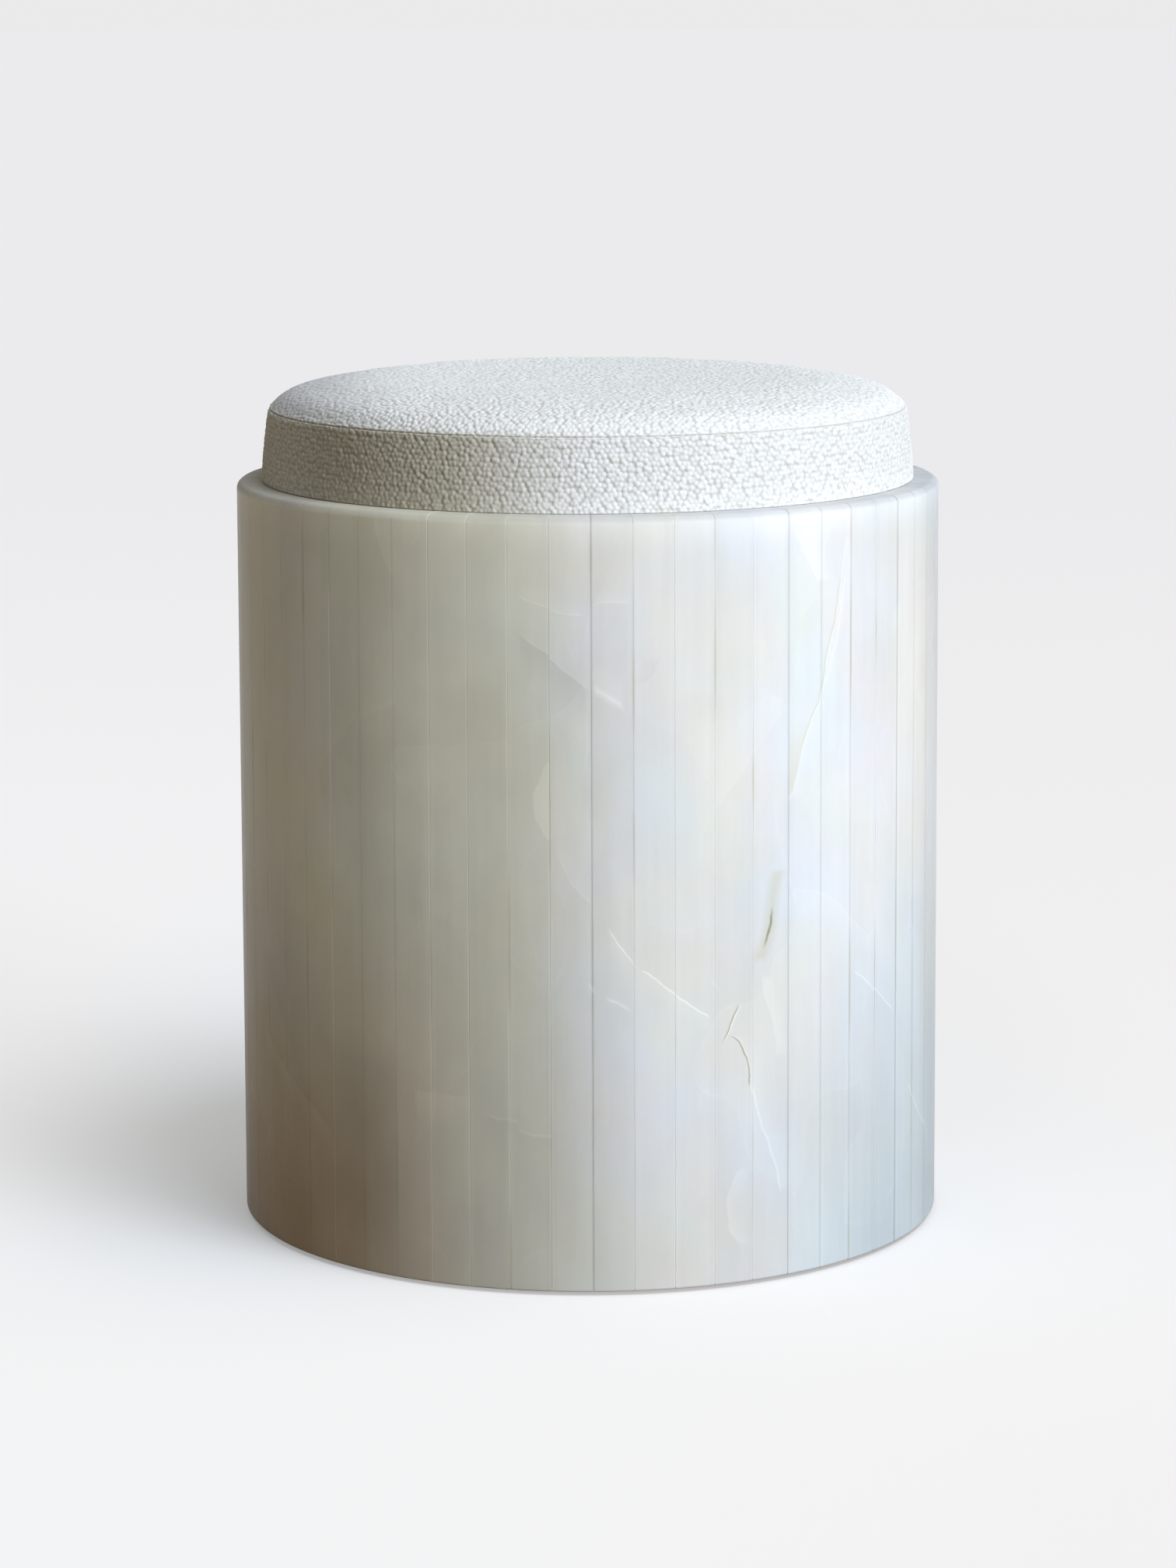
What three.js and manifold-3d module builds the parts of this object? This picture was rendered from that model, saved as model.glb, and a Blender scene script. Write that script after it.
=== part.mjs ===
// A round stool: a drum of upright onyx staves glued to a plywood former, and an upholstered
// seat that drops into its top. Millimetres, +Z up, with the origin on the floor under the
// middle of the drum. Angles round the drum start at the front, which faces -Y, and grow
// towards +X.

import * as THREE from 'three';
import { mergeVertices } from 'three/addons/utils/BufferGeometryUtils.js';
import Module from 'manifold-3d';

const wasm = await Module();
wasm.setup();

// The drum's shell of staves
const drumWidth = 380; // across opposite stave faces
const stavePairs = 28; // the staves are glued up two by two before they go on the tube
const staveLength = 400;
const staveThickness = 15;
const staveTopRound = 4; // radius of the worked top edge
const staveFootArris = 1;
const arrisWidth = 0.9; // along the stave's face, at both long edges
const arrisDepth = 0.9;
const glueLine = 0.3; // between neighbouring pairs, and between stone and wood
const floorClearance = 2; // from the floor to the foot of the stone

// The plywood former inside the shell
const tubeWall = 9;
const tubeSetback = 1; // of the tube's lower end from the foot of the staves
const ringFit = 0.3; // between the tube and the rings and plate in it
const ringThickness = 18;
const ringWidth = 40;
const topRingWidth = 45;
const basePlateThickness = 15;
const basePlateSetback = 2; // of the plate's underside from the foot of the staves

// Glides and their nails, and the countersunk screws
const glideCount = 6;
const glideRadius = 12;
const glideFaceRadius = 9.5;
const nailRadius = 1.1;
const nailLength = 12;
const nailPoint = 2.5;
const baseScrewCount = 6;
const plugScrewCount = 4;
const plugScrewCircleRadius = 80;
const screwHeadRadius = 4;
const screwHeadDepth = 2.6;
const screwShankRadius = 2;
const screwPoint = 4;
const baseScrewLength = 28;
const plugScrewLength = 22;
const fastenerFit = 0.3; // round every nail and screw

// The seat, from the drum's rim upward
const rimReveal = 13.5; // of the stone rim, all round the seat
const seatWaistDraw = 1.2; // how far the band draws in halfway up
const seamDraw = 4; // how far the seam lies inside the foot of the band
const seamHeight = 39; // above the rim
const seamPinch = 1.3; // how deep the seam is drawn into the pad
const seamPinchHeight = 2.2;
const crownHeight = 19; // of the middle of the top panel above the seam
const crownEdgeShare = 0.475; // below 1 the crown keeps its width longer
const crownTopShare = 0.818; // below 1 the crown keeps its height longer
const footRound = 3; // radius of the cover's lower edge
const coverThickness = 2;
const hemWidth = 30; // of the cover turned in under the board
const waddingThickness = 4;
const boardThickness = 15;
const dustCoverThickness = 0.6;
const dustCoverOverlap = 14; // of the dust cover over the hem
const layerFit = 0.3; // between the seat's layers, and between the seat and the rim
const seamGap = 0.3; // between the sewn edges
const plugFit = 1.5; // between the plug and the top ring
const plugThickness = 15;
const plugLeadIn = 2;

// Steps of the curves
const topRoundSteps = 4;
const crownSteps = 7;
const bandSteps = 4;
const footRoundSteps = 3;
const seatFacets = 56;
const fastenerFacets = 12;
const cutOverrun = 1;

// Finishes
const finish = (color, roughness, metalness = 0) =>
  new THREE.MeshStandardMaterial({ color, roughness, metalness });
const onyx = finish('#d7d8d2', 0.22);
const birchPly = finish('#cdb389', 0.7);
const nylon = finish('#d8d4c8', 0.55);
const zincSteel = finish('#a9abaa', 0.35, 1);
const boucle = finish('#e6e8e8', 0.95);
const foamFinish = finish('#efe9cf', 0.9);
const waddingFinish = finish('#f4f4f2', 0.95);
const dustCloth = finish('#3c3a38', 0.95);

// Heights above the floor
const staveCount = 2 * stavePairs;
const rimHeight = floorClearance + staveLength;
const tubeBottom = floorClearance + tubeSetback;
const basePlateBottom = floorClearance + basePlateSetback;
const baseRingBottom = basePlateBottom + basePlateThickness;
const topRingBottom = rimHeight - ringThickness;
const midRingBottom = (baseRingBottom + topRingBottom) / 2;
const dustCoverBottom = rimHeight + layerFit;
const hemBottom = dustCoverBottom + dustCoverThickness + layerFit;
const boardBottom = hemBottom + coverThickness + layerFit;
const boardTop = boardBottom + boardThickness;
const bandBottom = hemBottom + footRound;
const bandTop = rimHeight + seamHeight - seamPinchHeight;
const crownBottom = rimHeight + seamHeight + seamPinchHeight;

// Distances from the axis to the middle of a flat facet
const staveOuter = drumWidth / 2;
const seatEdge = staveOuter - rimReveal;
const seamEdge = seatEdge - seamDraw;
const staveInner = staveOuter - staveThickness;
const tubeOuter = staveInner - glueLine;
const tubeInner = tubeOuter - tubeWall;
const ringOuter = tubeInner - ringFit;
const ringInner = ringOuter - ringWidth;
const topRingInner = ringOuter - topRingWidth;
const fixingCircleRadius = ringOuter - ringWidth / 2;
const plugRadius = topRingInner - plugFit;
const boardRadius =
  Math.min(bandRadius(boardBottom), bandRadius(boardTop)) - coverThickness - layerFit;
const hemInner = boardRadius - hemWidth;
const dustCoverRadius = hemInner + dustCoverOverlap;

const halfStaveAngle = Math.PI / staveCount;

// The seat's half width at a height on its band, which draws in halfway up
function bandRadius(height) {
  const share = Math.max(0, (height - bandBottom) / (bandTop - bandBottom));
  return seatEdge - seamDraw * share ** 2 - seatWaistDraw * 4 * share * (1 - share);
}

// A closed solid turned round the axis from [radius, height] points that either end on the
// axis or close on themselves. Its facets start at the front, in line with the stave joints,
// and each radius is measured to the middle of a facet.
function turned(profile, facets = staveCount) {
  const reach = 1 / Math.cos(Math.PI / facets);
  const points = profile.map(([radius, height]) => new THREE.Vector2(radius * reach, height));
  const start = points[0];
  const end = points[points.length - 1];
  if (start.x > 0 || end.x > 0) points.push(start.clone());
  return new THREE.LatheGeometry(points, facets).rotateX(Math.PI / 2);
}

// A flat-faced disc or ring between two heights
function ringBlank(inner, outer, bottom, top) {
  return turned([[inner, bottom], [outer, bottom], [outer, top], [inner, top]]);
}

function discBlank(radius, bottom, top, facets = staveCount) {
  return turned([[0, bottom], [radius, bottom], [radius, top], [0, top]], facets);
}

// A geometry as a solid for cutting, with its seams merged and empty triangles dropped
function solidOf(geometry) {
  const bare = new THREE.BufferGeometry();
  bare.setAttribute('position', geometry.getAttribute('position'));
  bare.setIndex(geometry.getIndex());
  const merged = mergeVertices(bare);
  const corners = merged.getIndex().array;
  const kept = [];
  for (let i = 0; i < corners.length; i += 3) {
    const [a, b, c] = corners.slice(i, i + 3);
    if (a !== b && b !== c && c !== a) kept.push(a, b, c);
  }
  return new wasm.Manifold(new wasm.Mesh({
    numProp: 3,
    vertProperties: new Float32Array(merged.getAttribute('position').array),
    triVerts: new Uint32Array(kept),
  }));
}

function geometryOf(solid) {
  const mesh = solid.getMesh();
  const geometry = new THREE.BufferGeometry();
  geometry.setAttribute('position', new THREE.BufferAttribute(mesh.vertProperties, 3));
  geometry.setIndex(new THREE.BufferAttribute(mesh.triVerts, 1));
  geometry.computeVertexNormals();
  return geometry;
}

// A blank with holes cut in it
function drilled(blank, cutters) {
  return geometryOf(cutters.reduce((body, cutter) => body.subtract(solidOf(cutter)), solidOf(blank)));
}

// Places spaced evenly round the axis at one height. They start at the front, or half a step
// past it.
function circleOf(count, radius, height, halfStepOn = false) {
  return Array.from({ length: count }, (_, i) => {
    const angle = ((i + (halfStepOn ? 1 / 2 : 0)) * 2 * Math.PI) / count;
    return new THREE.Vector3(radius * Math.sin(angle), -radius * Math.cos(angle), height);
  });
}

function moved(geometry, place) {
  return geometry.clone().translate(place.x, place.y, place.z);
}

const stool = new THREE.Group();
const seat = new THREE.Group();
stool.add(seat);

function addPiece(group, name, geometry, material, place = new THREE.Vector3()) {
  const piece = new THREE.Mesh(geometry, material);
  piece.name = name;
  piece.position.copy(place);
  group.add(piece);
  return piece;
}

const numbered = (name, i) => `${name}_${String(i + 1).padStart(2, '0')}`;

// A corner of a stave pair's cross-section, in the pair's own frame: x points outward along
// the joint between its two staves. A point on a stave's face lies a distance along the face
// from its middle, and a point on a mitred side lies half a glue line inside the mitre.
function onFace(staveAngle, apothem, along) {
  return new THREE.Vector2(apothem, along).rotateAround(new THREE.Vector2(), staveAngle);
}

function onMitre(hand, radius) {
  const inside = new THREE.Vector2(radius, (-hand * glueLine) / 2);
  return inside.rotateAround(new THREE.Vector2(), hand * 2 * halfStaveAngle);
}

// The cross-section of two staves glued edge to edge, anticlockwise, for faces that lie a
// given distance from the axis. The long edges are arrised, so the joint shows as a V groove.
function pairSection(apothem) {
  const corner = apothem / Math.cos(halfStaveAngle);
  const innerCorner = staveInner / Math.cos(halfStaveAngle);
  const innerMitre = innerCorner - (glueLine / 2) * Math.tan(halfStaveAngle);
  const face = apothem * Math.tan(halfStaveAngle) - arrisWidth;
  return [
    new THREE.Vector2(innerCorner, 0),
    onMitre(-1, innerMitre),
    onMitre(-1, corner - arrisDepth),
    onFace(-halfStaveAngle, apothem, -face),
    onFace(-halfStaveAngle, apothem, face),
    new THREE.Vector2(corner - arrisDepth, 0),
    onFace(halfStaveAngle, apothem, -face),
    onFace(halfStaveAngle, apothem, face),
    onMitre(1, corner - arrisDepth),
    onMitre(1, innerMitre),
  ];
}

// A solid through sections that share one number of points, each at its own height
function lofted(sections) {
  const count = sections[0].outline.length;
  const positions = sections.flatMap(({ outline, height }) =>
    outline.flatMap((point) => [point.x, point.y, height]));
  const index = [];
  for (let level = 0; level + 1 < sections.length; level += 1) {
    for (let i = 0; i < count; i += 1) {
      const next = (i + 1) % count;
      const low = level * count;
      const high = low + count;
      index.push(low + i, low + next, high + next, low + i, high + next, high + i);
    }
  }
  const last = (sections.length - 1) * count;
  const cap = (outline) => THREE.ShapeUtils.triangulateShape(outline, []);
  for (const [a, b, c] of cap(sections[0].outline)) index.push(c, b, a);
  for (const [a, b, c] of cap(sections[sections.length - 1].outline)) {
    index.push(last + a, last + b, last + c);
  }
  const geometry = new THREE.BufferGeometry();
  geometry.setAttribute('position', new THREE.Float32BufferAttribute(positions, 3));
  geometry.setIndex(index);
  geometry.computeVertexNormals();
  return geometry;
}

// Two staves with a small arris at the foot and a rounded top edge
function stavePair() {
  const sections = [
    { outline: pairSection(staveOuter - staveFootArris), height: floorClearance },
    { outline: pairSection(staveOuter), height: floorClearance + staveFootArris },
  ];
  for (let step = 0; step <= topRoundSteps; step += 1) {
    const turn = (step / topRoundSteps) * (Math.PI / 2);
    sections.push({
      outline: pairSection(staveOuter - staveTopRound * (1 - Math.cos(turn))),
      height: rimHeight - staveTopRound * (1 - Math.sin(turn)),
    });
  }
  return lofted(sections);
}

// A screw that points up from the underside of its head. Grown by a clearance it is the
// cutter for its own hole, which then runs out below the head.
function countersunkScrew(length, grown = 0) {
  const below = grown > 0 ? -cutOverrun : 0;
  return turned([
    [0, below],
    [screwHeadRadius + grown, below],
    [screwHeadRadius + grown, 0],
    [screwShankRadius + grown, screwHeadDepth],
    [screwShankRadius + grown, length - screwPoint + grown],
    [0, length + grown],
  ], fastenerFacets);
}

// A nylon glide with the nail that is moulded into it, standing on the floor
function nailGlide(grown = 0) {
  const height = basePlateBottom;
  const nail = nailRadius + grown;
  const nailTop = height + nailLength + grown;
  if (grown > 0) {
    return turned([
      [0, height - cutOverrun], [nail, height - cutOverrun], [nail, nailTop - nailPoint], [0, nailTop],
    ], fastenerFacets);
  }
  return turned([
    [0, 0], [glideFaceRadius, 0], [glideRadius, height / 2], [glideRadius, height],
    [nail, height], [nail, nailTop - nailPoint], [0, nailTop],
  ], fastenerFacets);
}

// The seat's side, from its lower round to the seam, for a layer that lies a given depth under
// the outside of the cover and starts at a given height. The seam draws every layer in.
function bandOutline(depth, bottom = bandBottom) {
  const points = Array.from({ length: bandSteps + 1 }, (_, i) => {
    const height = bottom + ((bandTop - bottom) * i) / bandSteps;
    return [bandRadius(height) - depth, height];
  });
  return [...points, [seamEdge - seamPinch - depth, bandTop + seamPinchHeight - seamGap / 2]];
}

// The top panel's crown, from the seam to the axis, for a layer that lies a given depth under
// the outside of the cover
function crownOutline(depth) {
  const width = seamEdge - depth;
  const rise = crownHeight - seamPinchHeight - depth;
  const points = Array.from({ length: crownSteps + 1 }, (_, i) => {
    const turn = (i / crownSteps) * (Math.PI / 2);
    const radius = i < crownSteps ? width * Math.cos(turn) ** crownEdgeShare : 0;
    return [radius, crownBottom + rise * Math.sin(turn) ** crownTopShare];
  });
  return [[width - seamPinch, crownBottom - seamPinchHeight + seamGap / 2], ...points];
}

// The shell of staves, from the pair to the right of the front joint
const pair = stavePair();
for (let i = 0; i < stavePairs; i += 1) {
  const piece = addPiece(stool, numbered('stave_pair', i), pair, onyx);
  piece.rotation.z = ((i + 1 / 2) / stavePairs) * 2 * Math.PI - Math.PI / 2;
}

// The tube that carries the staves, and the rings that keep it round
addPiece(stool, 'core_tube', ringBlank(tubeInner, tubeOuter, tubeBottom, rimHeight), birchPly);
addPiece(stool, 'top_ring',
  ringBlank(topRingInner, ringOuter, topRingBottom, topRingBottom + ringThickness), birchPly);
addPiece(stool, 'mid_ring',
  ringBlank(ringInner, ringOuter, midRingBottom, midRingBottom + ringThickness), birchPly);

// The base plate is screwed up into the base ring, with the glides between the screws
const baseScrewPlaces = circleOf(baseScrewCount, fixingCircleRadius, basePlateBottom, true);
const glidePlaces = circleOf(glideCount, fixingCircleRadius, 0);
const baseScrewCutters = baseScrewPlaces.map((place) =>
  moved(countersunkScrew(baseScrewLength, fastenerFit), place));
const nailCutters = glidePlaces.map((place) => moved(nailGlide(fastenerFit), place));
const baseRing = ringBlank(ringInner, ringOuter, baseRingBottom, baseRingBottom + ringThickness);
const basePlate = discBlank(ringOuter, basePlateBottom, baseRingBottom);
addPiece(stool, 'base_ring', drilled(baseRing, baseScrewCutters), birchPly);
addPiece(stool, 'base_plate', drilled(basePlate, [...baseScrewCutters, ...nailCutters]), birchPly);
const baseScrew = countersunkScrew(baseScrewLength);
baseScrewPlaces.forEach((place, i) => {
  addPiece(stool, numbered('base_screw', i), baseScrew, zincSteel, place);
});
const glide = nailGlide();
glidePlaces.forEach((place, i) => {
  addPiece(stool, numbered('glide', i), glide, nylon, place);
});

// The seat's board and plug, with the dust cover that they hold between them
const plugTop = boardBottom - dustCoverThickness - 2 * layerFit;
const plugBottom = plugTop - plugThickness;
const plugBlank = turned([
  [0, plugBottom], [plugRadius - plugLeadIn, plugBottom], [plugRadius, plugBottom + plugLeadIn],
  [plugRadius, plugTop], [0, plugTop],
]);
const plugScrewPlaces = circleOf(plugScrewCount, plugScrewCircleRadius, plugBottom, true);
const plugScrewCutters = plugScrewPlaces.map((place) =>
  moved(countersunkScrew(plugScrewLength, fastenerFit), place));
addPiece(seat, 'seat_plug', drilled(plugBlank, plugScrewCutters), birchPly);
addPiece(seat, 'seat_board',
  drilled(discBlank(boardRadius, boardBottom, boardTop, seatFacets), plugScrewCutters), birchPly);
const plugScrew = countersunkScrew(plugScrewLength);
plugScrewPlaces.forEach((place, i) => {
  addPiece(seat, numbered('plug_screw', i), plugScrew, zincSteel, place);
});

// The dust cover lies on the board in the middle and steps down over the hem at its edge
const dustCoverTop = boardBottom - layerFit;
const dustStep = hemInner - layerFit;
addPiece(seat, 'dust_cover', drilled(turned([
  [0, dustCoverTop - dustCoverThickness],
  [dustStep - dustCoverThickness, dustCoverTop - dustCoverThickness],
  [dustStep - dustCoverThickness, dustCoverBottom],
  [dustCoverRadius, dustCoverBottom],
  [dustCoverRadius, dustCoverBottom + dustCoverThickness],
  [dustStep, dustCoverBottom + dustCoverThickness],
  [dustStep, dustCoverTop],
  [0, dustCoverTop],
], seatFacets), plugScrewCutters), dustCloth);

// The foam slab stands on the board, and the wadding wraps its top and side
const padBottom = boardTop + layerFit;
const waddingOutside = coverThickness + layerFit;
const waddingInside = waddingOutside + waddingThickness;
const foamOutside = waddingInside + layerFit;
addPiece(seat, 'seat_foam', turned([
  [0, padBottom], ...bandOutline(foamOutside, padBottom), ...crownOutline(foamOutside),
], seatFacets), foamFinish);
addPiece(seat, 'seat_wadding', turned([
  ...crownOutline(waddingInside).reverse(),
  ...bandOutline(waddingInside, padBottom).reverse(),
  ...bandOutline(waddingOutside, padBottom),
  ...crownOutline(waddingOutside),
], seatFacets), waddingFinish);

// The cover: a crowned top panel sewn to a side band, whose hem is turned in under the board
addPiece(seat, 'cover_top', turned([
  ...crownOutline(coverThickness).reverse(), ...crownOutline(0),
], seatFacets), boucle);
const footRoundOutline = Array.from({ length: footRoundSteps }, (_, i) => {
  const turn = (i / footRoundSteps) * (Math.PI / 2);
  return [
    seatEdge - footRound * (1 - Math.sin(turn)),
    bandBottom - footRound * Math.cos(turn),
  ];
});
addPiece(seat, 'cover_band', turned([
  [hemInner, hemBottom],
  ...footRoundOutline,
  ...bandOutline(0),
  ...bandOutline(coverThickness).reverse(),
  [seatEdge - footRound, hemBottom + coverThickness],
  [hemInner, hemBottom + coverThickness],
], seatFacets), boucle);

export default stool;
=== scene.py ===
import math

import bmesh
import bpy
import numpy as np
from mathutils import Matrix, Vector


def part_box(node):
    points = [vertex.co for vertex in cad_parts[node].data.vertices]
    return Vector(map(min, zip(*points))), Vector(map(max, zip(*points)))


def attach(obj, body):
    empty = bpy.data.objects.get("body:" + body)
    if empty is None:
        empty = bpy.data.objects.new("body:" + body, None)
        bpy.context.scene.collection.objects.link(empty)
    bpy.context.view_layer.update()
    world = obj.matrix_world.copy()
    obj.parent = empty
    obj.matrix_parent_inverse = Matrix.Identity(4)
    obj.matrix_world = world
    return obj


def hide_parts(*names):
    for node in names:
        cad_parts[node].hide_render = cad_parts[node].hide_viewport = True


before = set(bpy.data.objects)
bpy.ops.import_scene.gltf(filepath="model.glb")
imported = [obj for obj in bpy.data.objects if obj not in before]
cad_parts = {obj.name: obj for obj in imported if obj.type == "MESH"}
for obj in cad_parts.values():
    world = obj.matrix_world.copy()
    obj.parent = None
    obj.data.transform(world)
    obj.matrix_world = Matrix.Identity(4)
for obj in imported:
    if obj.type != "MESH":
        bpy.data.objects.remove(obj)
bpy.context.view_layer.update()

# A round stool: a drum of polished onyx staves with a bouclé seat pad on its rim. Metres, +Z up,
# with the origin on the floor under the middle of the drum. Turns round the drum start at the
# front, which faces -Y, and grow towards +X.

MM = 0.001
scene = bpy.context.scene
scene.view_settings.view_transform = "Standard"

# ---- Sizes that the pieces share with the solids

stave_count = 56
pair_count = stave_count // 2
drum_radius = 0.190
stave_thickness = 0.015
glue_line = 0.3 * MM
foot_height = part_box("stave_pair_01")[0].z
rim_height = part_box("stave_pair_01")[1].z
stave_turn = 2 * math.pi / stave_count
stave_pitch = stave_turn * drum_radius / MM  # along the face, in mm
top_round, top_steps = 4 * MM, 8
foot_arris, foot_steps = 1 * MM, 3
long_arris, long_steps = 0.25 * MM, 2
filler_steps = 6
filler_depth = 0.05 * MM  # below the staves' faces
filler_drop = 0.2 * MM  # below their tops
lean_spread, proud_spread = 0.15, 0.03  # how askew the staves stand: degrees and mm, either way
face_radius = drum_radius + 0.15 * MM  # the staves' faces are ground to this round
face_cuts = (-0.8, -0.5, -0.17, 0.17, 0.5, 0.8)  # across half of a stave's face
rounded_turn = math.radians(20)  # edges that turn less than this are shaded round
outward = 0.02  # how far the normal of a stave's outer faces points out, at least
hair = 0.01 * MM  # places nearer than this are the same

seat_radius = drum_radius - 13.5 * MM
seam_draw = 4 * MM
waist_draw = 0.5 * MM
seam_height = rim_height + 39 * MM
hem_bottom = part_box("cover_band")[0].z
foot_round = 0.8 * MM
foot_bottom = rim_height + 0.1 * MM  # where the filled cover bulges down to the rim
band_bottom = foot_bottom + 1.2 * MM
hem_rest = 0.1595  # inside this radius the hem rises to make room for the dust cover
hem_rise = 1.5 * MM  # and this far in from it, it has risen
hem_inner = 0.1423
hem_thickness = 2 * MM
board_slack = 0.3 * MM
board_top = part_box("seat_board")[1].z
board_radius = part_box("seat_board")[1].y
dust_cloth_thickness = 0.5 * MM

# ---- Camera

camera_away = 2.406
camera_height = 0.669
camera_pitch = math.radians(7.47)
camera_turn = math.radians(-0.415)
camera_roll = math.radians(0.23)

camera = bpy.data.objects.new("camera", bpy.data.cameras.new("camera"))
scene.collection.objects.link(camera)
camera.location = (
    camera_away * math.sin(camera_turn),
    -camera_away * math.cos(camera_turn),
    camera_height,
)
camera.rotation_euler = (
    Matrix.Rotation(camera_turn, 3, "Z") @ Matrix.Rotation(math.pi / 2 - camera_pitch, 3, "X")
    @ Matrix.Rotation(-camera_roll, 3, "Z")).to_euler()
camera.data.lens = 102.25
camera.data.sensor_width = 36
camera.data.shift_y = -0.14
scene.camera = camera


# ---- Shader maths

class Signal:
    """A node's output in a finish. Python's operators add Math nodes."""

    def __init__(self, finish, socket):
        self.finish = finish
        self.socket = socket

    def __add__(self, other):
        return self.finish.maths("ADD", self, other)

    def __radd__(self, other):
        return self.finish.maths("ADD", other, self)

    def __sub__(self, other):
        return self.finish.maths("SUBTRACT", self, other)

    def __rsub__(self, other):
        return self.finish.maths("SUBTRACT", other, self)

    def __mul__(self, other):
        return self.finish.maths("MULTIPLY", self, other)

    def __rmul__(self, other):
        return self.finish.maths("MULTIPLY", other, self)

    def __truediv__(self, other):
        return self.finish.maths("DIVIDE", self, other)

    def __rtruediv__(self, other):
        return self.finish.maths("DIVIDE", other, self)

    def __pow__(self, other):
        return self.finish.maths("POWER", self, other)

    def __neg__(self):
        return self * -1

    def __abs__(self):
        return self.finish.maths("ABSOLUTE", self)


class Finish:
    """A surface finish: a material, or the world, and what its nodes are made with."""

    def __init__(self, name, owner=None):
        self.owner = owner or bpy.data.materials.new(name)
        self.owner.use_nodes = True
        self.tree = self.owner.node_tree
        self.tree.nodes.clear()

    def node(self, kind, settings=None, **values):
        """Adds a node. Settings come first, then a value or a Signal for each named socket."""
        made = self.tree.nodes.new("ShaderNode" + kind)
        for name, value in (settings or {}).items():
            if name == "stops":
                self.set_stops(made.color_ramp, value)
            elif name == "curve":
                self.set_curve(made.mapping, value)
            else:
                setattr(made, name, value)
        for name, value in values.items():
            self.feed(self.find(made.inputs, name), value)
        return made

    def feed(self, socket, value):
        if isinstance(value, Signal):
            self.tree.links.new(value.socket, socket)
        else:
            socket.default_value = value

    def find(self, sockets, name):
        if name.startswith("in_"):
            return sockets[int(name[3:])]
        wanted = name.replace("_", " ").lower()
        return next(s for s in sockets if s.enabled and s.name.lower() == wanted)

    def out(self, made, name=None):
        if name is None:
            return Signal(self, next(s for s in made.outputs if s.enabled))
        return Signal(self, self.find(made.outputs, name))

    def set_stops(self, ramp, stops):
        while len(ramp.elements) < len(stops):
            ramp.elements.new(0.5)
        for element, (position, colour) in zip(ramp.elements, stops):
            element.position = position
            element.color = (*colour, 1)

    def set_curve(self, mapping, points):
        curve = mapping.curves[0]
        while len(curve.points) < len(points):
            curve.points.new(0.5, 0.5)
        for point, place in zip(curve.points, points):
            point.location = place
            point.handle_type = "AUTO"
        mapping.update()

    def maths(self, operation, *values):
        made = self.tree.nodes.new("ShaderNodeMath")
        made.operation = operation
        for socket, value in zip(made.inputs, values):
            self.feed(socket, value)
        return Signal(self, made.outputs[0])

    def least(self, a, b):
        return self.maths("MINIMUM", a, b)

    def most(self, a, b):
        return self.maths("MAXIMUM", a, b)

    def between(self, value, low, high, smooth=True):
        """0 below low and 1 above high, or the other way round where low is the greater."""
        made = self.node(
            "MapRange",
            {"interpolation_type": "SMOOTHSTEP" if smooth else "LINEAR", "clamp": True},
            value=value, from_min=min(low, high), from_max=max(low, high),
            to_min=0.0 if low < high else 1.0, to_max=1.0 if low < high else 0.0,
        )
        return self.out(made, "Result")

    def place(self):
        return self.out(self.node("TexCoord"), "Object")

    def split(self, vector):
        made = self.node("SeparateXYZ", vector=vector)
        return [self.out(made, axis) for axis in "XYZ"]

    def join(self, x, y, z):
        return self.out(self.node("CombineXYZ", x=x, y=y, z=z))

    def noise(self, vector, scale, detail=2.0, roughness=0.5, name="Fac", **more):
        made = self.node(
            "TexNoise", vector=vector, scale=scale, detail=detail, roughness=roughness, **more)
        return self.out(made, name)

    def random(self, value):
        return self.out(self.node("TexWhiteNoise", {"noise_dimensions": "1D"}, w=value), "Value")

    def blend(self, factor, a, b, kind="MIX"):
        """Colour a where the factor is 0 and b where it is 1."""
        made = self.node("Mix", {"data_type": "RGBA", "blend_type": kind})
        sockets = [s for s in made.inputs if s.enabled]
        for socket, value in zip(sockets, (factor, a, b)):
            if socket.type == "RGBA" and not isinstance(value, Signal):
                value = (*value, 1)
            self.feed(socket, value)
        return self.out(made)

    def ramp(self, factor, stops):
        return self.out(self.node("ValToRGB", {"stops": stops}, fac=factor))

    def bump(self, height, distance, strength):
        return self.out(self.node("Bump", height=height, distance=distance, strength=strength))

    def seen(self):
        """1 for the rays that show a thing, straight or in a reflection, and 0 for the rays that
        gather its light."""
        ray = self.node("LightPath")
        straight, mirrored, through = (
            self.out(ray, f"Is {kind} Ray") for kind in ("Camera", "Glossy", "Transmission"))
        return self.most(self.most(straight, mirrored), through)

    def surface(self, **values):
        """Closes the finish with a Principled shader and returns the material."""
        shader = self.out(self.node("BsdfPrincipled", **values))
        self.node("OutputMaterial", surface=shader)
        return self.owner


def srgb(red, green, blue):
    """A colour as it is seen, from 0 to 255, as the linear values of a socket."""
    def linear(value):
        value /= 255
        return value / 12.92 if value <= 0.04045 else ((value + 0.055) / 1.055) ** 2.4
    return linear(red), linear(green), linear(blue)


# ---- Pieces

def add_piece(name, mesh, body, finish, slot, *stands_for):
    piece = bpy.data.objects.new(name, mesh)
    scene.collection.objects.link(piece)
    mesh.materials.clear()
    mesh.materials.append(finish)
    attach(piece, body)
    if stands_for:
        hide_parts(*stands_for)
    return piece


def mesh_of(shape, name):
    mesh = bpy.data.meshes.new(name)
    shape.to_mesh(mesh)
    shape.free()
    return mesh


# ---- Staves

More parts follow.
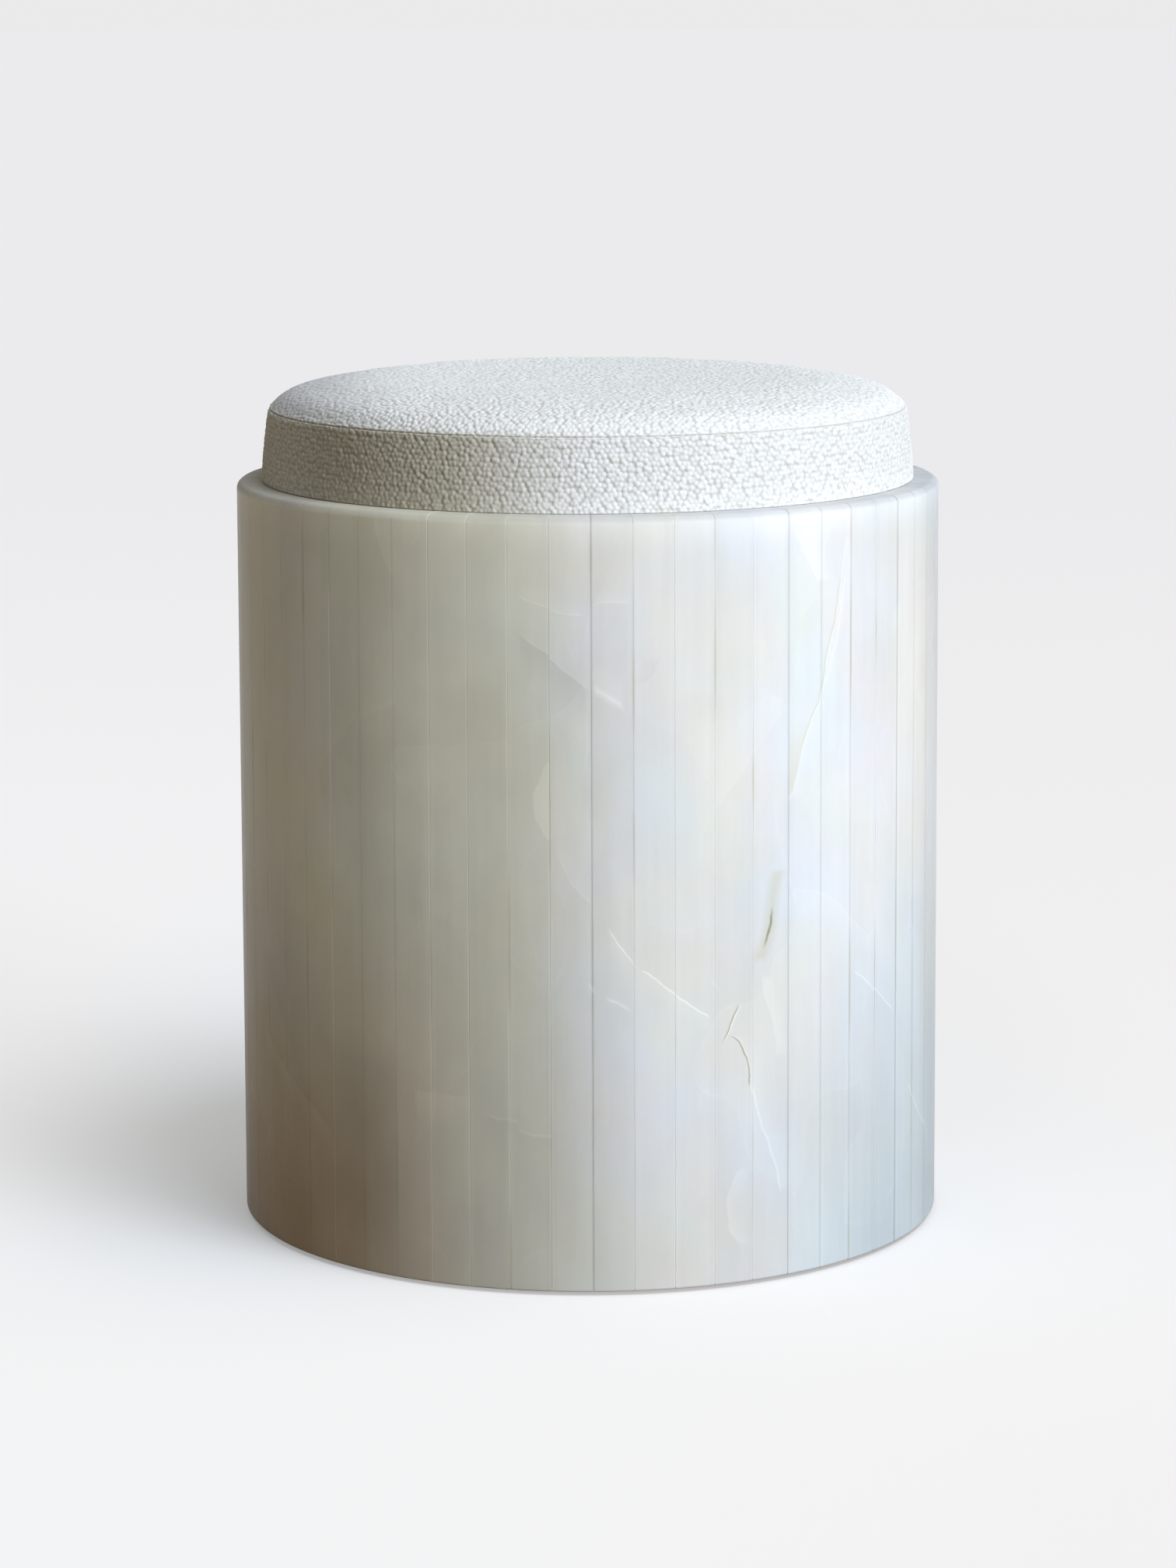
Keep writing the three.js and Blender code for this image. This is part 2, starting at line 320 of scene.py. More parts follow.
def stave(shape, turn, lean, proud):
    """One stave: a mitred strip with a rounded top edge and arrised long edges. Its face is
    ground to the round of the drum, a little askew by lean and proud by a hair."""
    half = math.tan(stave_turn / 2)
    inner, outer = drum_radius - stave_thickness, drum_radius + proud
    edge = glue_line / 2 / math.cos(stave_turn / 2)
    corners = [
        (inner, -inner * half + edge), (outer, -outer * half + edge),
        (outer, outer * half - edge), (inner, inner * half - edge),
    ]
    feet = [shape.verts.new((x, y, foot_height)) for x, y in corners]
    foot = shape.faces.new(feet)
    grown = bmesh.ops.extrude_face_region(shape, geom=[foot])["geom"]
    tops = [g for g in grown if isinstance(g, bmesh.types.BMVert)]
    bmesh.ops.translate(shape, verts=tops, vec=(0, 0, rim_height - foot_height))
    faces = list({f for v in feet + tops for f in v.link_faces})
    bmesh.ops.recalc_face_normals(shape, faces=faces)

    def outer_edges(height):
        return [
            e for e in {e for f in faces if f.is_valid for e in f.edges}
            if all(abs(v.co.x - outer) < hair and abs(v.co.z - height) < hair for v in e.verts)
        ]

    for height, radius, steps in (
            (rim_height, top_round, top_steps), (foot_height, foot_arris, foot_steps)):
        bmesh.ops.bevel(
            shape, geom=outer_edges(height), offset=radius, offset_type="OFFSET",
            segments=steps, profile=0.5, affect="EDGES", material=-1)
    members = grow_from(feet[0])
    side_out = [Vector((-math.sin(s), math.cos(s) * (1 if s > 0 else -1), 0))
                for s in (stave_turn / 2, -stave_turn / 2)]
    sides = {f for f in members if any(f.normal.dot(n) > 0.999 for n in side_out)}
    fronts = {f for f in members if f not in sides and f.normal.x > outward}
    long_edges = [
        e for f in fronts for e in f.edges if any(g in sides for g in e.link_faces)
    ]
    made = bmesh.ops.bevel(
        shape, geom=list(set(long_edges)), offset=long_arris, offset_type="OFFSET",
        segments=long_steps, profile=0.5, affect="EDGES", material=-1)
    members = grow_from(next(v for f in made["faces"] for v in f.verts))
    start = next(iter(members)).verts[0]
    cuts = [((0, outer * half * share, 0), (0, 1, 0)) for share in face_cuts]
    cuts += [((0, 0, height), (0, 0, 1)) for height in (
        rim_height - top_round - long_arris, foot_height + foot_arris + long_arris)]
    for place, across in cuts:
        members = grow_from(start)
        bmesh.ops.bisect_plane(
            shape, geom=[*members, *{e for f in members for e in f.edges},
                         *{v for f in members for v in f.verts}],
            dist=0.001 * MM, plane_co=place, plane_no=across)
    members = grow_from(start)
    verts = list({v for f in members for v in f.verts})
    for vert in verts:
        if vert.co.x > drum_radius - top_round - 1 * MM:
            vert.co.x += math.sqrt(face_radius ** 2 - vert.co.y ** 2) - drum_radius
    for face in members:
        face.normal_update()
        face.smooth = face.normal.x > outward
    for edge in {e for f in members for e in f.edges}:
        edge.smooth = edge.calc_face_angle() < rounded_turn
    middle = Vector((drum_radius, 0, 0))
    bmesh.ops.rotate(shape, verts=verts, cent=middle, matrix=Matrix.Rotation(lean, 3, "Z"))
    bmesh.ops.rotate(
        shape, verts=verts, cent=(0, 0, 0), matrix=Matrix.Rotation(turn - math.pi / 2, 3, "Z"))


def grow_from(vert):
    """Every face of the closed shell that a vertex belongs to."""
    seen, reached = {vert}, [vert]
    while reached:
        for edge in reached.pop().link_edges:
            for other in edge.verts:
                if other not in seen:
                    seen.add(other)
                    reached.append(other)
    return {f for v in seen for f in v.link_faces}


def stave_pairs(finish):
    settling = np.random.default_rng(7)
    for pair in range(pair_count):
        shape = bmesh.new()
        for i in (2 * pair, 2 * pair + 1):
            stave(
                shape, (i + 0.5) * stave_turn,
                math.radians(settling.uniform(-lean_spread, lean_spread)),
                settling.uniform(-proud_spread, proud_spread) * MM)
        name = f"{pair + 1:02d}"
        add_piece(f"onyx_staves_{name}", mesh_of(shape, f"onyx_staves_{name}"), "drum",
                  finish, "onyx", f"stave_pair_{name}")


def joint_filler(finish):
    """The resin in the joints between the staves, a hair below their faces and as round at its
    top as they are."""
    shape = bmesh.new()
    inner = drum_radius - stave_thickness
    outer = face_radius - filler_depth
    foot, top = foot_height + foot_arris, rim_height - filler_drop
    for joint in range(stave_count):
        low = [shape.verts.new((x, side * glue_line / 2, foot))
               for x, side in ((inner, -1), (outer, -1), (outer, 1), (inner, 1))]
        grown = bmesh.ops.extrude_face_region(shape, geom=[shape.faces.new(low)])["geom"]
        high = [g for g in grown if isinstance(g, bmesh.types.BMVert)]
        bmesh.ops.translate(shape, verts=high, vec=(0, 0, top - foot))
        rim = [e for e in {e for v in high for e in v.link_edges}
               if all(v in high and v.co.x > outer - hair for v in e.verts)]
        bmesh.ops.bevel(
            shape, geom=rim, offset=top_round, offset_type="OFFSET", segments=filler_steps,
            profile=0.5, affect="EDGES", material=-1)
        bmesh.ops.rotate(
            shape, verts=list({v for f in grow_from(low[0]) for v in f.verts}),
            cent=(0, 0, 0), matrix=Matrix.Rotation(joint * stave_turn - math.pi / 2, 3, "Z"))
    bmesh.ops.recalc_face_normals(shape, faces=shape.faces)
    add_piece("joint_filler", mesh_of(shape, "joint_filler"), "drum", finish, "onyx")


# ---- Floor, world and lamps

floor_left = (255, 253, 252)
floor_right = (253, 250, 248)
floor_cool = (246, 250, 255)
floor_far = (246, 243, 243)
floor_bounce = (0.2, 0.155, 0.09)  # the light it throws back at the stool
horizon = (234, 234, 234)
shadow_lift = 0.52  # share of the floor's light that shadows don't take away
contact_depth = 0.23  # how much less of it there is beside the stool


def floor_finish():
    """Near-white paint, cooler beside the stool on its shaded side."""
    floor = Finish("studio_floor")
    x, y, _ = floor.split(floor.place())
    near = floor.blend(floor.between(x, -0.2, 0.3), srgb(*floor_left), srgb(*floor_right))
    # 1 beside and behind the stool, in an oval that is long from front to back
    beside = floor.between((x * x + y * y * 0.12) ** 0.5, 0.42, 0.16)
    beside = beside * floor.between(y, -0.3, -0.05)
    near = floor.blend(beside * floor.between(x, -0.02, -0.2) * 0.8, near, srgb(*floor_cool))
    paint = floor.blend(floor.between(y, -1.0, 4.0), near, srgb(*floor_far))
    shown = floor.out(floor.node("BsdfDiffuse", color=paint))
    glow = floor.out(floor.node("Emission", color=paint, strength=1.0))
    lift = shadow_lift - beside * contact_depth
    lifted = floor.out(floor.node("MixShader", fac=lift, in_1=shown, in_2=glow))
    unseen = floor.out(floor.node("BsdfDiffuse", color=(*floor_bounce, 1)))
    both = floor.out(floor.node("MixShader", fac=floor.seen(), in_1=unseen, in_2=lifted))
    floor.node("OutputMaterial", surface=both)
    return floor.owner


floor_shape = bmesh.new()
bmesh.ops.create_circle(floor_shape, cap_ends=True, segments=64, radius=60)
floor = bpy.data.objects.new("floor", mesh_of(floor_shape, "floor"))
floor.data.materials.append(floor_finish())
scene.collection.objects.link(floor)

# The sky's light on the stool: from a warm dim side to a cool bright one, and a glow behind.
# Places in the sky are turns and heights, in degrees.
sky_tones = (
    (0.0, (0.105, 0.0715, 0.020)), (0.5, (0.21, 0.185, 0.12)), (0.8, (0.36, 0.4, 0.45)),
    (1.0, (0.46, 0.52, 0.6)))
key_turn, key_height = 45, 33
rear_turn, rear_height = 185, 22
rear_glow = (0.45, 0.44, 0.41)


def towards(turn, height):
    """The direction from the stool to a place in the sky."""
    turn, height = math.radians(turn), math.radians(height)
    return Vector((
        math.sin(turn) * math.cos(height), -math.cos(turn) * math.cos(height), math.sin(height)))


def sky():
    world = bpy.data.worlds.new("studio")
    scene.world = world
    light = Finish("studio", world)
    x, y, z = light.split(light.out(light.node("TexCoord"), "Generated"))
    key = towards(key_turn, key_height)
    side = light.between(x * key.x + y * key.y + z * key.z, -0.35, 1.0, smooth=False)
    glow = light.ramp(side, sky_tones)
    rear = towards(rear_turn, rear_height)
    behind = light.between(x * rear.x + y * rear.y + z * rear.z, 0.35, 1.0)
    glow = light.blend(behind, glow, rear_glow)
    lit = light.out(light.node("Background", color=glow, strength=1.0))
    shown = light.out(light.node("Background", color=(*srgb(*horizon), 1), strength=1.0))
    both = light.out(light.node("MixShader", fac=light.seen(), in_1=lit, in_2=shown))
    light.node("OutputWorld", surface=both)


def sun(name, turn, height, strength, colour, softness):
    lamp = bpy.data.lights.new(name, "SUN")
    lamp.energy = strength
    lamp.color = colour
    lamp.angle = math.radians(softness)
    holder = bpy.data.objects.new(name, lamp)
    scene.collection.objects.link(holder)
    holder.rotation_euler = towards(turn, height).to_track_quat("Z", "Y").to_euler()


sky()
sun("low_window", turn=47, height=13, strength=2.2, colour=(0.88, 0.94, 1.0), softness=30)
sun("high_window", turn=48, height=60, strength=1.40, colour=(0.85, 0.92, 1.0), softness=32)


# ---- Seat pad

pad_grid = 64  # squares across the top panel before they are divided
pad_divisions = 3
grid_edge = 8 * MM  # from the seam to the edge of the grid
seam_rings = (4.5 * MM, 1.5 * MM, 0)
band_rings = (1.5 * MM, 4 * MM, 8 * MM, 12 * MM, 16 * MM, 20 * MM, 24 * MM, 28 * MM, 32 * MM)
crown_rise = 15.3 * MM  # of the top panel above the seam, before the pad is filled
crown_lean = 11 * MM  # how far the top panel leans in from the seam, and how soon it flattens
crown_fullness = 15 * MM
pad_swell = 4.0  # pressure inside the pad while it is filled
pad_give = 1.0 * MM  # how far filling may move it
filling_steps = 20
easing_passes = 8  # the foam evens out creases
grain_size = 2.8 * MM
grain_height = 0.9 * MM
grain_middle = 0.6  # the share of the grain's height that lies inside the plain surface
row_share = 0.87  # rows of packed beads lie nearer to each other than the beads in a row
bead_stray = 0.64  # how far a bead may lie off its row, as a share of a bead
bead_reach = 0.64
bead_fullness = 0.7  # below 1, a bead is blunter than a dome
bead_least = 0.62  # the height of the flattest beads
seam_depth = 0.8 * MM
seam_half_width = 0.5 * MM
seam_bare = 0.85  # how much of the grain the seam pulls flat
stitch_count = 264
stitch_pull = 0.35  # share of the seam's depth that comes and goes with the stitches


def crown_profile():
    """Distance along the top panel from its middle, with the radius and height there."""
    share = np.linspace(1, 0, 600)
    start, lean, full, middle = (
        (1 - share) ** 3, 3 * (1 - share) ** 2 * share, 3 * (1 - share) * share ** 2, share ** 3)
    edge = seat_radius - seam_draw
    radius = edge * (start + lean + full) - crown_lean * lean - crown_fullness * full
    height = seam_height + crown_rise * (lean + full + middle)
    along = np.concatenate([[0], np.cumsum(np.hypot(np.diff(radius), np.diff(height)))])
    return along, radius, height


def band_radius(height):
    share = (height - band_bottom) / (seam_height - band_bottom)
    return seat_radius - seam_draw * share ** 2 - waist_draw * 4 * share * (1 - share)


def draw_rings(shape, edges, now, steps):
    """Draws a ring of boundary edges out through the steps, each a radius and a height."""
    for far, high in steps:
        grown = bmesh.ops.extrude_edge_only(shape, edges=edges)["geom"]
        verts = [g for g in grown if isinstance(g, bmesh.types.BMVert)]
        bmesh.ops.scale(shape, verts=verts, vec=(far / now, far / now, 1))
        for vert in verts:
            vert.co.z = high
        edges = [g for g in grown if isinstance(g, bmesh.types.BMEdge) and g.is_boundary]
        now = far
    return edges


def places_of(vertices):
    co = np.empty(len(vertices) * 3)
    vertices.foreach_get("co", co)
    return co.reshape(-1, 3)


def pad_blank():
    """The coarse pad: a square grid drawn into the round of the top panel, then rings down the
    side and round the foot, closed underneath."""
    along, radius, height = crown_profile()
    shape = bmesh.new()
    bmesh.ops.create_grid(shape, x_segments=pad_grid, y_segments=pad_grid, size=1)
    reach = along[-1] - grid_edge
    for vert in shape.verts:
        x, y = vert.co.x, vert.co.y
        x, y = x * math.sqrt(1 - y * y / 2), y * math.sqrt(1 - x * x / 2)
        out = math.hypot(x, y)
        if out > 0:
            far = float(np.interp(out * reach, along, radius))
            vert.co.x, vert.co.y = x / out * far, y / out * far
        vert.co.z = float(np.interp(out * reach, along, height))
    edges = [e for e in shape.edges if e.is_boundary]
    now = float(np.interp(reach, along, radius))
    steps = [(float(np.interp(along[-1] - s, along, radius)),
              float(np.interp(along[-1] - s, along, height))) for s in seam_rings]
    steps += [(band_radius(seam_height - s), seam_height - s) for s in band_rings]
    steps += [(seat_radius, band_bottom)]
    steps += [(seat_radius - foot_round * (1 - math.sin(a)),
               foot_bottom + (band_bottom - foot_bottom) * (1 - math.cos(a)))
              for a in (math.pi / 4, 0)]
    edges = draw_rings(shape, edges, now, steps)
    shape.verts.index_update()
    held = [v.index for v in shape.verts
            if v.co.z <= band_bottom + hair or abs(v.co.z - seam_height) < hair]
    bmesh.ops.contextual_create(shape, geom=edges)
    bmesh.ops.recalc_face_normals(shape, faces=shape.faces)
    return shape, held


def filled(mesh, held):
    """The pad after pressure inside it has stretched the cover between its held seams."""
    trial = bpy.data.objects.new("pad_trial", mesh)
    scene.collection.objects.link(trial)
    before = places_of(mesh.vertices)
    pins = trial.vertex_groups.new(name="held")
    pins.add(held, 1.0, "REPLACE")
    cloth = trial.modifiers.new("filling", "CLOTH")
    cloth.settings.quality = 6
    cloth.settings.mass = 0.4
    cloth.settings.tension_stiffness = 40
    cloth.settings.compression_stiffness = 25
    cloth.settings.shear_stiffness = 15
    cloth.settings.bending_stiffness = 1.5
    cloth.settings.use_pressure = True
    cloth.settings.uniform_pressure_force = pad_swell
    cloth.settings.vertex_group_mass = "held"
    cloth.settings.effector_weights.gravity = 0
    cloth.collision_settings.use_collision = False
    cloth.point_cache.frame_start, cloth.point_cache.frame_end = 1, filling_steps
    for step in range(1, filling_steps + 1):
        scene.frame_set(step)
    settled = trial.evaluated_get(bpy.context.evaluated_depsgraph_get())
    moved = places_of(settled.data.vertices) - before
    scene.frame_set(1)
    bpy.data.objects.remove(trial)
    far = np.linalg.norm(moved, axis=1, keepdims=True)
    moved *= np.minimum(1, pad_give / np.maximum(far, 1e-9))
    ends = np.empty(len(mesh.edges) * 2, int)
    mesh.edges.foreach_get("vertices", ends)
    ends = ends.reshape(-1, 2)
    ends = np.concatenate([ends, ends[:, ::-1]])
    fixed = np.zeros(len(moved), bool)
    fixed[held] = True
    for _ in range(easing_passes):
        near = np.stack([np.bincount(ends[:, 0], moved[ends[:, 1], i], len(moved))
                         for i in range(3)], 1)
        near /= np.bincount(ends[:, 0], minlength=len(moved))[:, None]
        moved = np.where(fixed[:, None], moved, (moved + near) / 2)
    mesh.vertices.foreach_set("co", (before + moved).ravel())
    mesh.update()
    return mesh


def scatter(a, b, kind):
    """A steady random number from 0 to 1 for each whole-numbered place on the cloth."""
    value = np.sin(a * 127.1 + b * 311.7 + kind * 74.7) * 43758.5453
    return value - np.floor(value)


def pebbles(a, b, size, wrap=None):
    """The height, from 0 to 1, of round beads of yarn packed at places (a, b) on the cloth, in
    rows that are each shifted by half a bead."""
    row_height = size * row_share
    row = np.floor(b / row_height)
    nearest = np.full_like(a, np.inf)
    tall = np.zeros_like(a)
    for step_b in (-1, 0, 1):
        here_b = row + step_b
        lag = np.mod(here_b, 2) / 2
        cell = np.floor(a / size - lag)
        for step_a in (-1, 0, 1):
            here_a = cell + step_a
            key_a = np.mod(here_a, wrap) if wrap else here_a
            shift_a, shift_b, rise = (scatter(key_a, here_b, kind) for kind in range(3))
            from_a = a / size - (here_a + 0.5 + lag + (shift_a - 0.5) * bead_stray)
            from_b = (b / row_height - (here_b + 0.5 + (shift_b - 0.5) * bead_stray)) * row_share
            far = np.hypot(from_a, from_b)
            tall = np.where(far < nearest, rise, tall)
            nearest = np.minimum(nearest, far)
    dome = np.clip(1 - (nearest / bead_reach) ** 2, 0, 1) ** bead_fullness
    return dome * (bead_least + (1 - bead_least) * tall)


def mark_cloth(mesh):
    """Keeps each point's distance along the cover from the middle of the top panel."""
    along, radius, height = crown_profile()
    co = places_of(mesh.vertices)
    out = np.hypot(co[:, 0], co[:, 1])
    by_radius = np.interp(out, radius, along)
    by_height = np.interp(-co[:, 2], -height, along)
    # By radius where the crown is flat, and by height where it falls to the seam
    steep = np.interp(out, (0.8 * radius[-1], 0.95 * radius[-1]), (0, 1))
    on_top = by_radius * (1 - steep) + by_height * steep
    kept = np.where(co[:, 2] >= seam_height, on_top, along[-1] + seam_height - co[:, 2])
    mesh.attributes.new("along", "FLOAT", "POINT").data.foreach_set("value", kept)
    return along[-1]


def worked_pad(mesh, to_seam):
    """Divides the pad finely, draws in the seam and raises the pebbled grain."""
    shape = bmesh.new()
    shape.from_mesh(mesh)
    bmesh.ops.delete(
        shape, geom=[f for f in shape.faces if len(f.verts) > 4], context="FACES_ONLY")
    trial = bpy.data.objects.new("pad_trial", mesh_of(shape, "pad_trial"))
    scene.collection.objects.link(trial)
    divide = trial.modifiers.new("divide", "SUBSURF")
    divide.levels = divide.render_levels = pad_divisions
    fine = bpy.data.meshes.new_from_object(
        trial.evaluated_get(bpy.context.evaluated_depsgraph_get()))
    bpy.data.objects.remove(trial)
    co = places_of(fine.vertices)
    normal, along = np.empty(co.size), np.empty(len(co))
    fine.vertex_normals.foreach_get("vector", normal)
    fine.attributes["along"].data.foreach_get("value", along)
    turn = np.arctan2(co[:, 0], -co[:, 1])
    top = pebbles(along * np.sin(turn), along * np.cos(turn), grain_size)
    around = round(2 * math.pi * seat_radius / grain_size)
    side = pebbles(turn / (2 * math.pi) * around * grain_size, along, grain_size, around)
    pile = np.where(along < to_seam, top, side)
    from_seam = np.abs(along - to_seam)
    groove = np.exp(-(from_seam / seam_half_width) ** 2)
    stitch = 1 - stitch_pull + stitch_pull * np.cos(turn * stitch_count)
    pile *= 1 - seam_bare * groove
    lift = grain_height * (pile - grain_middle) - seam_depth * groove * stitch
    lift *= np.clip((co[:, 2] - foot_bottom) / foot_round, 0, 1)
    co = co + normal.reshape(-1, 3) * lift[:, None]
    fine.vertices.foreach_set("co", co.ravel())
    fine.attributes.new("pile", "FLOAT", "POINT").data.foreach_set("value", pile)
    fine.update()
    return hemmed(fine)


def hemmed(mesh):
    """Turns the cover in under the board and closes the pad round it."""
    shape = bmesh.new()
    shape.from_mesh(mesh)
    edges = [e for e in shape.edges if e.is_boundary]
    now = seat_radius - foot_round
    tucked = board_radius + board_slack
    steps = [(now - step * (now - hem_rest) / 3, foot_bottom) for step in range(1, 4)]
    now_in = hem_rest - hem_rise
    steps += [(now_in - step * (now_in - hem_inner) / 4, hem_bottom) for step in range(5)]
    steps += [(hem_inner, hem_bottom + hem_thickness), (tucked, hem_bottom + hem_thickness),
              (tucked, board_top + board_slack)]
    edges = draw_rings(shape, edges, now, steps)
    bmesh.ops.contextual_create(shape, geom=edges)
    bmesh.ops.recalc_face_normals(shape, faces=shape.faces)
    for face in shape.faces:
        face.smooth = face.calc_center_median().z > hem_bottom + hair
    return mesh_of(shape, "seat_pad")


# ---- Onyx

# Veins drawn on the slab, as (around, up) points in mm: around from the joint at the front,
# positive to the right, and up from the floor. Each has the half width and strength of its
# line, then the reach and strength of a tone that fades off on one side, -1 or 1.
STEEP, SHALLOW = True, False
veins = [
    (SHALLOW, ((-38, 362), (-23, 357), (-2, 354)), 0.9, 0.06, 10, 0.03, 1),
    (SHALLOW, ((1, 357), (11, 357.5), (21, 357)), 0.9, 0.05, 8, 0.03, 1),
    (SHALLOW, ((-38, 344), (-20, 331), (-1, 316)), 0.9, 0.06, 20, -0.09, -1),
    (SHALLOW, ((-1, 316), (9, 309), (18, 303)), 3.2, 0.10, 18, 0.06, 1),
    (STEEP, ((25, 316), (31, 322), (36, 332)), 0.5, 0.02, 10, -0.04, -1),
    (SHALLOW, ((-19, 235), (-7, 213), (2, 205)), 0.8, 0.05, 9, 0.04, 1),
    (SHALLOW, ((7, 193), (14, 183), (23, 170)), 0.75, 0.20, 9, 0.03, -1),
    (SHALLOW, ((23, 170), (28, 168), (41, 158), (62, 143)), 0.75, 0.20, 9, 0.03, -1),
    (STEEP, ((2, 156), (-2, 167)), 1.2, 0.12, 5, 0.03, -1),
    (SHALLOW, ((6, 155), (13, 152), (21, 147)), 1.1, 0.12, 5, 0.03, 1),
    (STEEP, ((99, 118), (97, 135), (92, 151), (89, 164)), 0.5, 0.0, 11, 0.06, 1),
    (STEEP, ((68, 129), (71, 134), (78, 149)), 1.3, 0.14, 4, 0.02, 1),
    (STEEP, ((102, 46), (96, 69), (87, 95), (84, 107), (82, 121), (71, 134)),
     1.1, 0.10, 9, 0.03, 1),
    (STEEP, ((85, 21), (71, 38), (79, 63)), 0.5, 0.02, 10, 0.07, 1),
    (SHALLOW, ((152, 157), (173, 141), (190, 125)), 0.8, 0.13, 8, 0.02, 1),
    (SHALLOW, ((206, 87), (225, 65), (239, 51), (248, 25)), 0.8, 0.13, 8, 0.02, 1),
    (STEEP, ((106, 252), (112, 264), (116, 279), (123, 297), (128, 306), (134, 333), (139, 347),
             (142, 367), (146, 387)), 0.8, 0.07, 10, 0.03, 1),
    (STEEP, ((130, 310), (137, 330), (145, 369)), 0.6, 0.08, 4, 0.02, 1),
    (STEEP, ((126, 363), (118, 378), (109, 394)), 0.5, 0.0, 14, 0.06, 1),
    (SHALLOW, ((-57, 96), (-50, 91), (-40, 91), (-38, 86), (-30, 84), (-19, 85)),
     1.1, 0.09, 12, -0.03, -1),
    (STEEP, ((-106, 369), (-113, 385), (-119, 400)), 0.8, 0.04, 12, 0.05, 1),
    (SHALLOW, ((-222, 118), (-190, 97), (-156, 76), (-150, 68)), 1.6, -0.04, 16, 0.05, -1),
    (SHALLOW, ((-214, 142), (-186, 108), (-168, 70)), 1.2, 0.03, 12, -0.03, 1),
    (SHALLOW, ((-96, 104), (-80, 103), (-62, 104)), 0.5, 0.0, 22, 0.06, -1),
]
bright_lens = ((-19, 235), (-27, 245), (-30, 258), (-27, 269), (-21, 280))
olive_streak = ((88, 169), (91, 177), (95, 190), (97, 205), (101, 218))
beige_wedge = ((106, 252), (112, 264), (116, 279), (123, 297))
olive, cream = (168, 162, 128), (232, 224, 202)
# Cracks, each with how far it lies to the left of its points, the half widths where it fades
# out and where it is full, its strength and its colour.
cracks = [
    (((68, 129), (71, 134), (78, 149)), 0.5, 0.6, 0.2, 0.7, olive),
    (((84, 104), (82, 121), (71, 134)), 0.5, 0.6, 0.2, 0.7, olive),
    (((116, 279), (123, 297), (128, 306), (134, 333), (139, 347), (142, 367)),
     0.9, 1.0, 0.3, 0.6, cream),
]


def drawn(onyx, around, up, points, steep):
    """How far a place lies from a line drawn on the slab, in mm, and a mask between its ends."""
    run, cross = (up, around) if steep else (around, up)
    runs = [p[1] if steep else p[0] for p in points]
    crosses = [p[0] if steep else p[1] for p in points]
    low, high = min(crosses) - 1, max(crosses) + 1
    length = runs[-1] - runs[0]
    share = (run - runs[0]) / length
    made = onyx.node("FloatCurve", {"curve": [
        ((r - runs[0]) / length, (c - low) / (high - low)) for r, c in zip(runs, crosses)]},
        value=share)
    slope = (crosses[-1] - crosses[0]) / length
    off = (cross - onyx.out(made) * (high - low) - low) / math.sqrt(1 + slope ** 2)
    soft = min(0.5, 4 / length)
    ends = onyx.between(share, 0, soft) * onyx.between(share, 1, 1 - soft)
    return off, ends


near_sway, far_sway = 4, 120  # mm by which noise bends the veins and the patches
patch_size = 62  # mm


